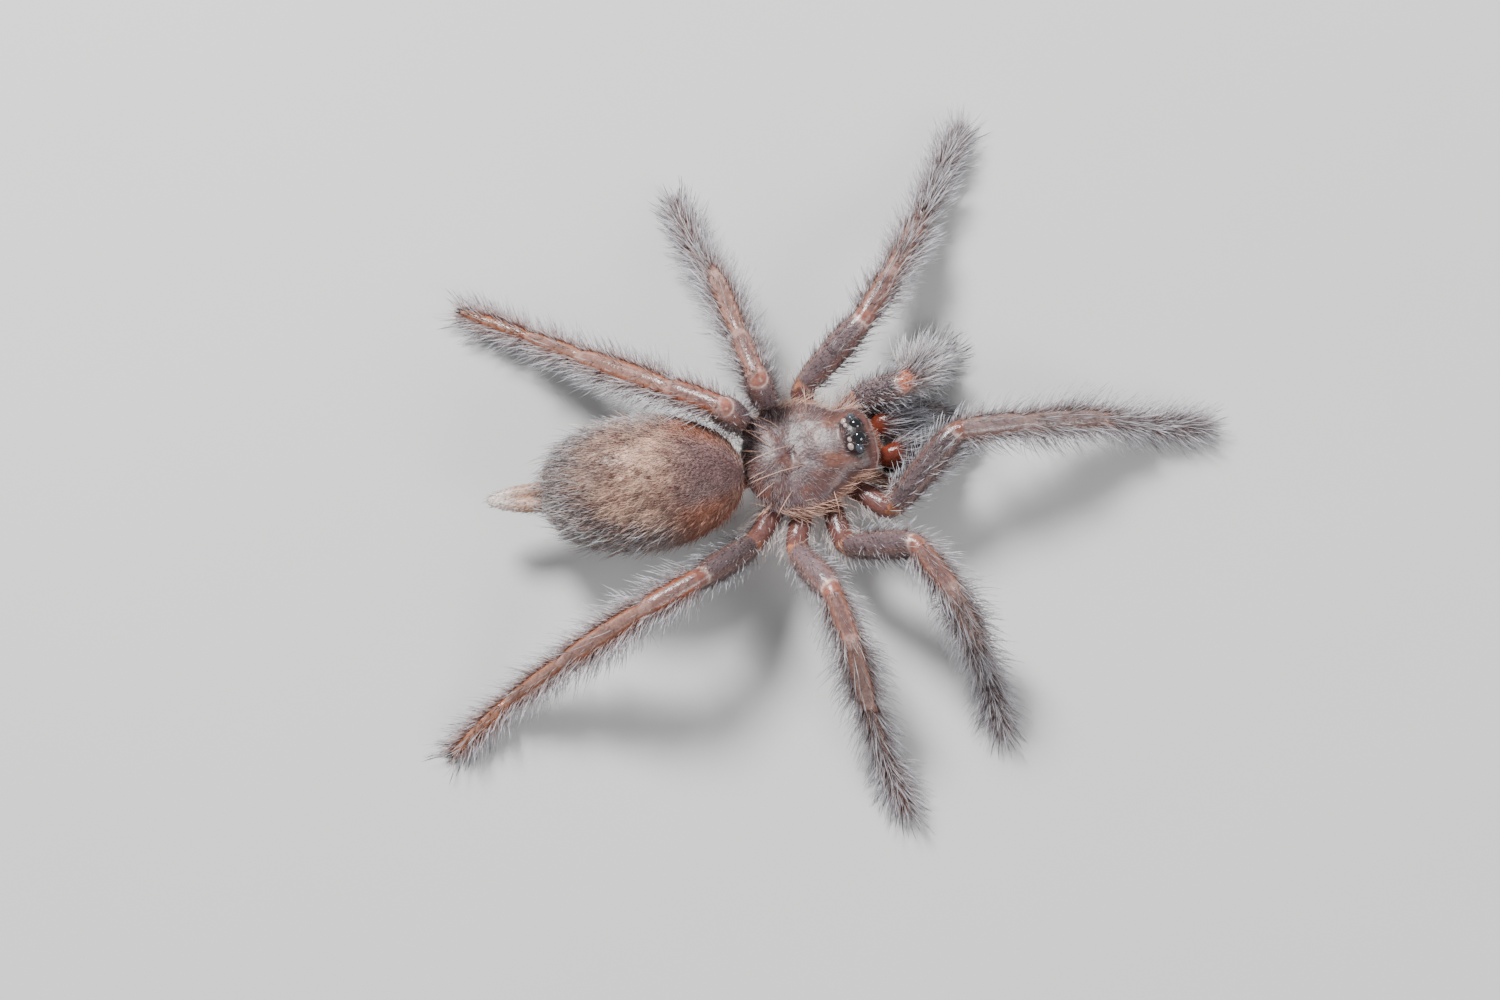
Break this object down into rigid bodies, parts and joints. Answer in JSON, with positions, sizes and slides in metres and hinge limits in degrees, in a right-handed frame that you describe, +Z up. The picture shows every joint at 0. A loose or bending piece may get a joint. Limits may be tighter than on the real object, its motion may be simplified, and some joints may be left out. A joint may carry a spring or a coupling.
{
  "type": "tarantula",
  "caption": "Young brown-grey tarantula as a still, life-size museum model: glossy domed head shield, furry oval abdomen and hairy jointed legs, standing on its feet.",
  "frame": {"origin": "on the floor, below the middle of the bounding box of all pieces", "axes": "+Z up, +X roughly towards the head, +Y towards the animal's left; the body's own long axis is turned 15 degrees from +X towards +Y"},
  "size_m": [0.0304, 0.0284, 0.0062],
  "materials": {
    "carapace": "glossy purple-brown shield with fine pale hairs",
    "leg_flesh": "satin reddish-brown to purple-grey skin under blue-grey hair",
    "coxa_flesh": "shiny red-brown with pale combed bristles",
    "abdomen_fur": "soft backward-lying grey-brown fur",
    "chelicera": "glossy dark red",
    "fang": "polished near-black",
    "eye": "wet black",
    "membrane": "soft orange-brown joint skin",
    "spinneret": "pale beige-pink"
  },
  "bodies": {
    "root": {"abdomen": "abdomen_fur", "carapace": "carapace", "chelicera_left": "chelicera", "chelicera_right": "chelicera", "eye_tubercle": "eye", "fang_left": "fang", "fang_right": "fang", "leg_1_left_coxa": "coxa_flesh", "leg_1_left_femur": "leg_flesh", "leg_1_left_metatarsus_tarsus": "leg_flesh", "leg_1_left_patella": "leg_flesh", "leg_1_left_tibia": "leg_flesh", "leg_1_right_coxa": "coxa_flesh", "leg_1_right_femur": "leg_flesh", "leg_1_right_metatarsus_tarsus": "leg_flesh", "leg_1_right_patella": "leg_flesh", "leg_1_right_tibia": "leg_flesh", "leg_2_left_coxa": "coxa_flesh", "leg_2_left_femur": "leg_flesh", "leg_2_left_metatarsus_tarsus": "leg_flesh", "leg_2_left_patella": "leg_flesh", "leg_2_left_tibia": "leg_flesh", "leg_2_right_coxa": "coxa_flesh", "leg_2_right_femur": "leg_flesh", "leg_2_right_metatarsus_tarsus": "leg_flesh", "leg_2_right_patella": "leg_flesh", "leg_2_right_tibia": "leg_flesh", "leg_3_left_coxa": "coxa_flesh", "leg_3_left_femur": "leg_flesh", "leg_3_left_metatarsus_tarsus": "leg_flesh", "leg_3_left_patella": "leg_flesh", "leg_3_left_tibia": "leg_flesh", "leg_3_right_coxa": "coxa_flesh", "leg_3_right_femur": "leg_flesh", "leg_3_right_metatarsus_tarsus": "leg_flesh", "leg_3_right_patella": "leg_flesh", "leg_3_right_tibia": "leg_flesh", "leg_4_left_coxa": "coxa_flesh", "leg_4_left_femur": "leg_flesh", "leg_4_left_metatarsus_tarsus": "leg_flesh", "leg_4_left_patella": "leg_flesh", "leg_4_left_tibia": "leg_flesh", "leg_4_right_coxa": "coxa_flesh", "leg_4_right_femur": "leg_flesh", "leg_4_right_metatarsus_tarsus": "leg_flesh", "leg_4_right_patella": "leg_flesh", "leg_4_right_tibia": "leg_flesh", "palp_left_coxa": "leg_flesh", "palp_left_femur": "leg_flesh", "palp_left_tarsus": "leg_flesh", "palp_left_tibia": "leg_flesh", "palp_right_coxa": "leg_flesh", "palp_right_femur": "leg_flesh", "palp_right_tarsus": "leg_flesh", "palp_right_tibia": "leg_flesh", "pedicel": "membrane", "spinneret_left": "spinneret", "spinneret_right": "spinneret", "sternum": "coxa_flesh"}
  },
  "joints": []
}
